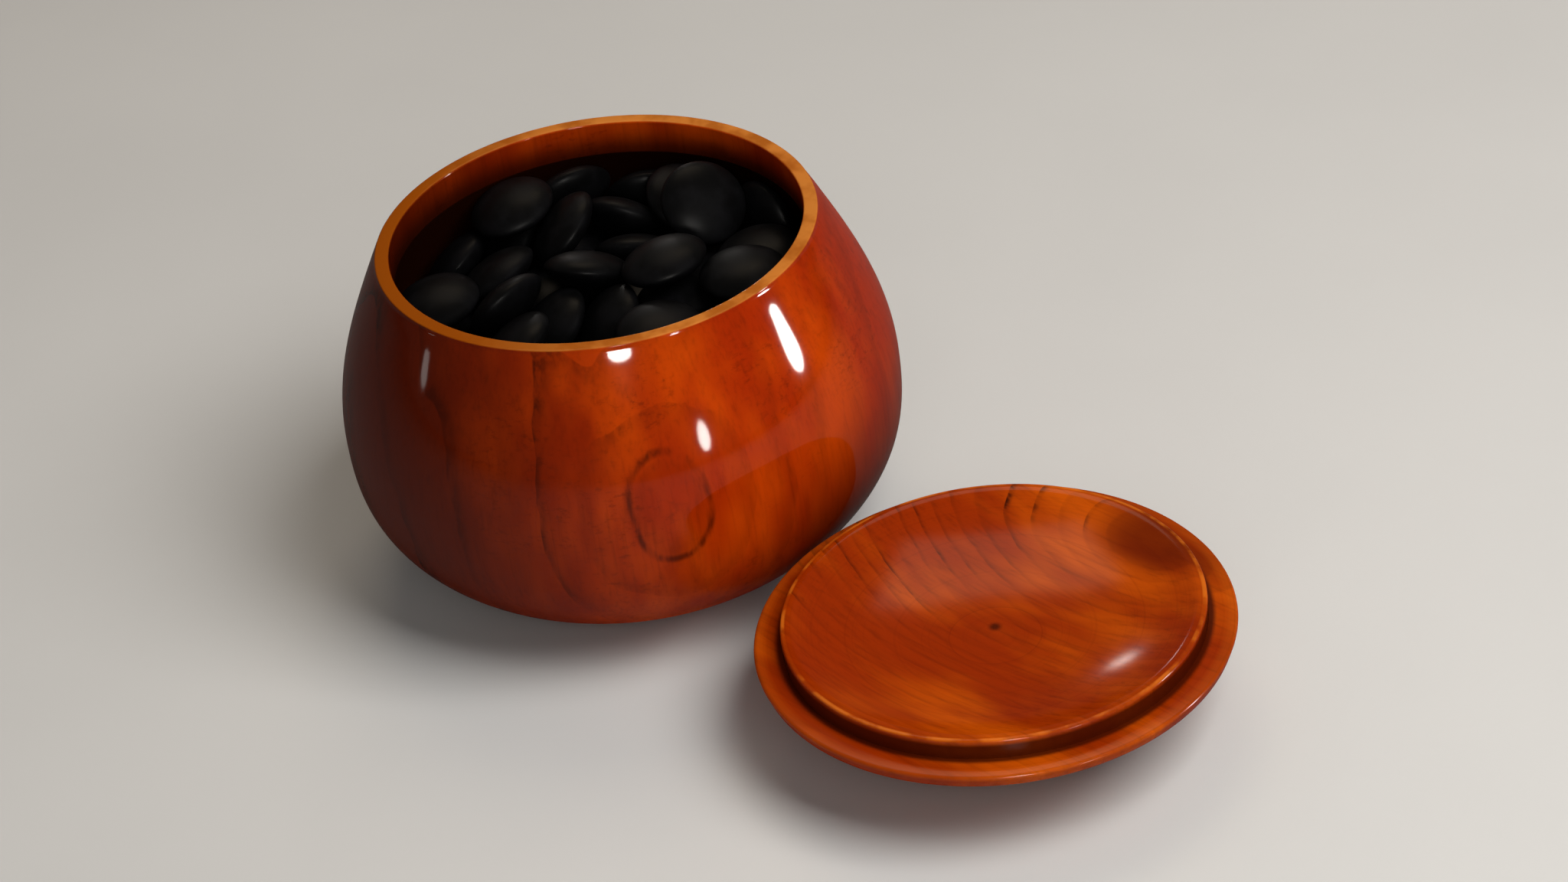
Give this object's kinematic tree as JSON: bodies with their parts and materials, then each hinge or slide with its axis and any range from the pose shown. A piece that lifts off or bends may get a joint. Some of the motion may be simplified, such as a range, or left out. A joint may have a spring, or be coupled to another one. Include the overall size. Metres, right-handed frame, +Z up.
{
  "type": "go stone bowl with lid and stones",
  "caption": "Round turned wooden go bowl, full of black lens-shaped stones, with its domed lid lying upside down beside it.",
  "frame": {"origin": "centre of the bowl's flat base", "axes": "+Z up, +X from the bowl's axis to the lid's axis"},
  "size_m": [0.2514, 0.14, 0.09],
  "materials": {
    "bowl_wood": "red-brown stained wood with dark vertical grain under glossy lacquer",
    "lid_wood": "the same stained wood and lacquer, a little softer in gloss",
    "black_stone": "opaque black stone, satin to matte"
  },
  "bodies": {
    "root": {"bowl": "bowl_wood", "stone_bed": "black_stone", "top_stone_01": "black_stone", "top_stone_02": "black_stone", "top_stone_03": "black_stone", "top_stone_04": "black_stone", "top_stone_07": "black_stone", "top_stone_08": "black_stone", "top_stone_09": "black_stone", "top_stone_13": "black_stone", "top_stone_16": "black_stone", "top_stone_18": "black_stone", "top_stone_20": "black_stone", "top_stone_21": "black_stone", "lower_stone_23": "black_stone", "lower_stone_24": "black_stone", "lower_stone_25": "black_stone", "lower_stone_26": "black_stone", "lower_stone_27": "black_stone", "lower_stone_28": "black_stone", "lower_stone_29": "black_stone", "lower_stone_30": "black_stone", "lower_stone_31": "black_stone", "lower_stone_32": "black_stone", "lower_stone_33": "black_stone", "lower_stone_34": "black_stone", "lower_stone_35": "black_stone", "lower_stone_37": "black_stone", "lower_stone_38": "black_stone", "lower_stone_39": "black_stone", "lower_stone_40": "black_stone"},
    "lid": {"lid": "lid_wood"},
    "top_stone_05": {"top_stone_05": "black_stone"},
    "top_stone_06": {"top_stone_06": "black_stone"},
    "top_stone_10": {"top_stone_10": "black_stone"},
    "top_stone_11": {"top_stone_11": "black_stone"},
    "top_stone_12": {"top_stone_12": "black_stone"},
    "top_stone_14": {"top_stone_14": "black_stone"},
    "top_stone_15": {"top_stone_15": "black_stone"},
    "top_stone_17": {"top_stone_17": "black_stone"},
    "top_stone_19": {"top_stone_19": "black_stone"},
    "top_stone_22": {"top_stone_22": "black_stone"},
    "lower_stone_36": {"lower_stone_36": "black_stone"}
  },
  "joints": [
    {"name": "lid_turn_over", "type": "hinge", "parent": "root", "child": "lid", "pos_m": [0.06225, 0, 0.05925], "axis": [0, 1, 0], "range_deg": [-180, 0]},
    {"name": "lower_stone_36_lift", "type": "slide", "parent": "root", "child": "lower_stone_36", "axis": [-0.3299, 0.09, 0.9397], "range_m": [0, 0.04]},
    {"name": "top_stone_05_lift", "type": "slide", "parent": "root", "child": "top_stone_05", "axis": [0.34, -0.05, 0.9391], "range_m": [0, 0.025]},
    {"name": "top_stone_06_lift", "type": "slide", "parent": "root", "child": "top_stone_06", "axis": [0, 0, 1], "range_m": [0, 0.045]},
    {"name": "top_stone_10_lift", "type": "slide", "parent": "root", "child": "top_stone_10", "axis": [0.6368, 0.09, 0.7658], "range_m": [0, 0.05]},
    {"name": "top_stone_11_lift", "type": "slide", "parent": "root", "child": "top_stone_11", "axis": [0.6172, 0.179, 0.7662], "range_m": [0, 0.04]},
    {"name": "top_stone_12_lift", "type": "slide", "parent": "root", "child": "top_stone_12", "axis": [0.2501, 0.2301, 0.9405], "range_m": [0, 0.03]},
    {"name": "top_stone_14_lift", "type": "slide", "parent": "root", "child": "top_stone_14", "axis": [0.3101, -0.14, 0.9403], "range_m": [0, 0.025]},
    {"name": "top_stone_15_lift", "type": "slide", "parent": "root", "child": "top_stone_15", "axis": [0, 0, 1], "range_m": [0, 0.06]},
    {"name": "top_stone_17_lift", "type": "slide", "parent": "root", "child": "top_stone_17", "axis": [0.3299, 0.1, 0.9387], "range_m": [0, 0.055]},
    {"name": "top_stone_19_lift", "type": "slide", "parent": "root", "child": "top_stone_19", "axis": [0, 0, 1], "range_m": [0, 0.055]},
    {"name": "top_stone_22_lift", "type": "slide", "parent": "root", "child": "top_stone_22", "axis": [0.34, -0.05, 0.9391], "range_m": [0, 0.035]}
  ]
}
